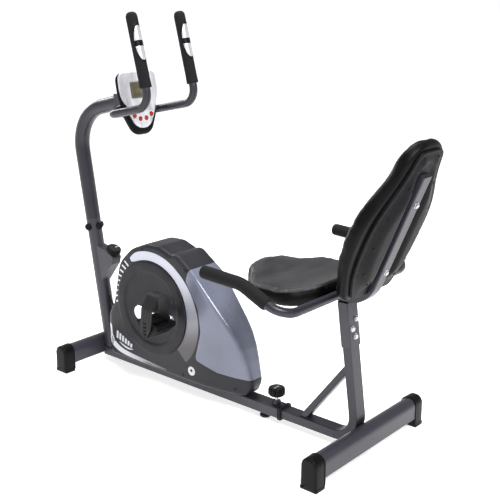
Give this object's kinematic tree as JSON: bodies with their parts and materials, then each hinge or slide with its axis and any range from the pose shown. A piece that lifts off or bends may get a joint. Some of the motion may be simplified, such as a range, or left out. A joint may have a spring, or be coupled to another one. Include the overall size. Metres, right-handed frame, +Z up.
{
  "type": "recumbent exercise bike",
  "caption": "Recumbent exercise bike with a padded seat and backrest on a sliding rear frame, side handles, belt-driven magnetic flywheel, pedals, console and handlebar.",
  "frame": {"origin": "on the floor at the middle of the bounding box, between the stabilizers", "axes": "+X towards the seat end along the rail, +Y towards the rider's right, +Z up; the rider faces -X"},
  "size_m": [1.3798, 0.6358, 1.2033],
  "materials": {
    "frame": "satin powder coat",
    "bright": "zinc plated",
    "chrome": "polished",
    "shell": "textured",
    "black": "satin",
    "insert": "metallic blue-grey",
    "silver": "metallic silver",
    "lens": "tinted, glossy",
    "red": "glossy",
    "foam": "fine foam",
    "rubber": "matt",
    "vinyl": "grained vinyl",
    "iron": "machined and painted",
    "board": "solder mask",
    "cable": "sheathed steel cable"
  },
  "bodies": {
    "base": {"main_rail": "frame", "rail_bushing": "black", "front_stabilizer": "frame", "front_end_caps": "black", "lower_mast": "frame", "upper_mast": "frame", "mast_bolts": "bright", "tension_bracket": "black", "tension_cable": "cable", "handlebar": "frame", "handlebar_clamp": "black", "hand_grips": "foam", "pulse_plates": "chrome", "console_back": "black", "console_face": "silver", "display_window": "lens", "console_board": "board", "crank_stay": "frame", "crank_bearings": "bright", "drive_belt": "rubber", "flywheel_axle": "bright", "flywheel_fork": "frame", "idler_arm": "bright", "left_housing": "shell", "right_housing": "shell", "rear_inserts": "insert", "housing_screws": "bright"},
    "rear_frame": {"sliding_rail": "frame", "rear_stabilizer": "frame", "rear_end_caps": "black", "seat_sleeve": "frame", "seat_bar": "frame", "seat_bolts": "bright", "side_handles": "frame", "side_grips": "foam", "seat_pan": "black", "seat_cushion": "vinyl", "back_shell": "black", "back_cushion": "vinyl"},
    "lock_knob": {"rail_lock_knob": "black"},
    "foot": {"leveling_foot": "rubber"},
    "tension_knob": {"tension_knob": "black"},
    "magnet_arm": {"magnet_arm": "bright"},
    "crank": {"crank_axle": "bright", "left_crank": "chrome", "right_crank": "chrome", "hub_caps": "chrome", "crank_discs": "shell", "drive_pulley": "black"},
    "left_pedal": {"left_pedal": "black", "left_pedal_strap": "rubber"},
    "right_pedal": {"right_pedal": "black", "right_pedal_strap": "rubber"},
    "flywheel": {"flywheel": "iron", "flywheel_pulley": "bright"},
    "idler": {"idler_wheel": "black"},
    "button_1": {"console_button_1": "red"},
    "button_2": {"console_button_2": "red"},
    "button_3": {"console_button_3": "red"},
    "button_4": {"console_button_4": "red"}
  },
  "joints": [
    {"name": "seat_slide", "type": "slide", "parent": "base", "child": "rear_frame", "axis": [1, 0, 0], "range_m": [-0.05, 0.12]},
    {"name": "rail_lock_turn", "type": "hinge", "parent": "base", "child": "lock_knob", "pos_m": [0.198, 0, 0.085], "axis": [0, 0, 1], "range_deg": [0, 720]},
    {"name": "foot_turn", "type": "hinge", "parent": "base", "child": "foot", "pos_m": [0.154, 0, 0.005], "axis": [0, 0, 1], "range_deg": [-360, 360]},
    {"name": "tension_turn", "type": "hinge", "parent": "base", "child": "tension_knob", "pos_m": [-0.5302, 0, 0.3973], "axis": [0.4695, 0, 0.8829], "range_deg": [0, 270]},
    {"name": "magnet_swing", "type": "hinge", "parent": "base", "child": "magnet_arm", "pos_m": [-0.133, 0, 0.179], "axis": [0, 1, 0], "range_deg": [0, 5]},
    {"name": "crank_spin", "type": "hinge", "parent": "base", "child": "crank", "pos_m": [-0.275, 0, 0.27], "axis": [0, 1, 0], "continuous": true},
    {"name": "left_pedal_spin", "type": "hinge", "parent": "crank", "child": "left_pedal", "pos_m": [-0.155, -0.16, 0.27], "axis": [0, 1, 0], "continuous": true},
    {"name": "right_pedal_spin", "type": "hinge", "parent": "crank", "child": "right_pedal", "pos_m": [-0.395, 0.16, 0.27], "axis": [0, 1, 0], "continuous": true},
    {"name": "flywheel_spin", "type": "hinge", "parent": "base", "child": "flywheel", "pos_m": [-0.021, 0, 0.185], "axis": [0, 1, 0], "continuous": true},
    {"name": "idler_spin", "type": "hinge", "parent": "base", "child": "idler", "pos_m": [-0.09635, 0, 0.14264], "axis": [0, 1, 0], "continuous": true},
    {"name": "button_1_press", "type": "slide", "parent": "base", "child": "button_1", "axis": [-0.9863, 0, -0.165], "range_m": [0, 0.0015], "stiffness_N_per_m": 600},
    {"name": "button_2_press", "type": "slide", "parent": "base", "child": "button_2", "axis": [-0.9863, 0, -0.165], "range_m": [0, 0.0015], "stiffness_N_per_m": 600},
    {"name": "button_3_press", "type": "slide", "parent": "base", "child": "button_3", "axis": [-0.9863, 0, -0.165], "range_m": [0, 0.0015], "stiffness_N_per_m": 600},
    {"name": "button_4_press", "type": "slide", "parent": "base", "child": "button_4", "axis": [-0.9863, 0, -0.165], "range_m": [0, 0.0015], "stiffness_N_per_m": 600}
  ],
  "couplings": [
    {"joint": "flywheel_spin", "follows": "crank_spin", "ratio": 8.3333},
    {"joint": "idler_spin", "follows": "crank_spin", "ratio": -7.8125},
    {"joint": "magnet_swing", "follows": "tension_turn", "ratio": 0.018519}
  ]
}
